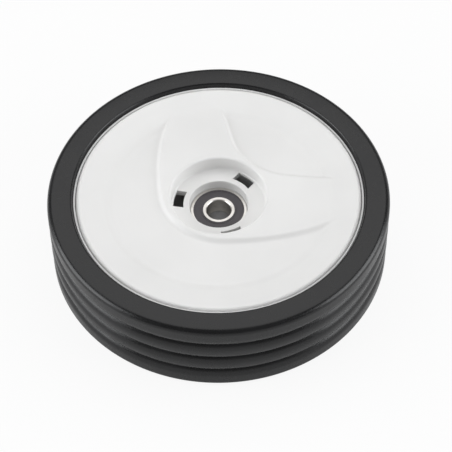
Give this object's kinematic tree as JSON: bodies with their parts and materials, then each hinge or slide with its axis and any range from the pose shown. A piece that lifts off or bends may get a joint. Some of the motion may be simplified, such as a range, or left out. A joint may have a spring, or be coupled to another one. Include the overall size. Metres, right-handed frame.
{
  "type": "lawn mower wheel",
  "caption": "Lawn mower wheel with a ribbed black tyre, a white dished face cover with a deep hub recess and clip windows, and sealed ball bearings.",
  "frame": {"origin": "centre of the wheel: on the axle's line, half way through the tyre's width", "axes": "+Z along the axle's line, out of the wheel's face; the wheel lies on its back, as in the picture; +X is the picture's right and +Y points away from its camera"},
  "size_m": [0.207, 0.207, 0.054],
  "materials": {
    "tyre_rubber": "satin moulded rubber",
    "cover_plastic": "fine satin, pale grey-white",
    "body_plastic": "satin, pale grey-white",
    "ring_steel": "ground bearing steel",
    "ball_steel": "polished",
    "cage_steel": "pressed strip",
    "spacer_steel": "turned tube",
    "seal_rubber": "matte moulded rubber"
  },
  "bodies": {
    "wheel": {"tyre": "tyre_rubber", "wheel_body": "body_plastic", "face_cover": "cover_plastic", "front_bearing_outer_ring": "ring_steel", "front_bearing_outboard_seal": "seal_rubber", "front_bearing_inboard_seal": "seal_rubber", "rear_bearing_outer_ring": "ring_steel", "rear_bearing_outboard_seal": "seal_rubber", "rear_bearing_inboard_seal": "seal_rubber"},
    "axle_sleeve": {"spacer_tube": "spacer_steel", "front_bearing_inner_ring": "ring_steel", "rear_bearing_inner_ring": "ring_steel"},
    "front_ball_set": {"front_bearing_balls": "ball_steel", "front_bearing_outboard_cage": "cage_steel", "front_bearing_inboard_cage": "cage_steel", "front_bearing_cage_rivets": "cage_steel"},
    "rear_ball_set": {"rear_bearing_balls": "ball_steel", "rear_bearing_outboard_cage": "cage_steel", "rear_bearing_inboard_cage": "cage_steel", "rear_bearing_cage_rivets": "cage_steel"}
  },
  "joints": [
    {"name": "axle_spin", "type": "hinge", "parent": "wheel", "child": "axle_sleeve", "pos_m": [0, 0, 0], "axis": [0, 0, 1], "continuous": true},
    {"name": "front_cage_spin", "type": "hinge", "parent": "wheel", "child": "front_ball_set", "pos_m": [0, 0, 0.0045], "axis": [0, 0, 1], "continuous": true},
    {"name": "rear_cage_spin", "type": "hinge", "parent": "wheel", "child": "rear_ball_set", "pos_m": [0, 0, -0.0165], "axis": [0, 0, 1], "continuous": true}
  ],
  "couplings": [
    {"joint": "front_cage_spin", "follows": "axle_spin", "ratio": 0.38094},
    {"joint": "rear_cage_spin", "follows": "axle_spin", "ratio": 0.38094}
  ]
}
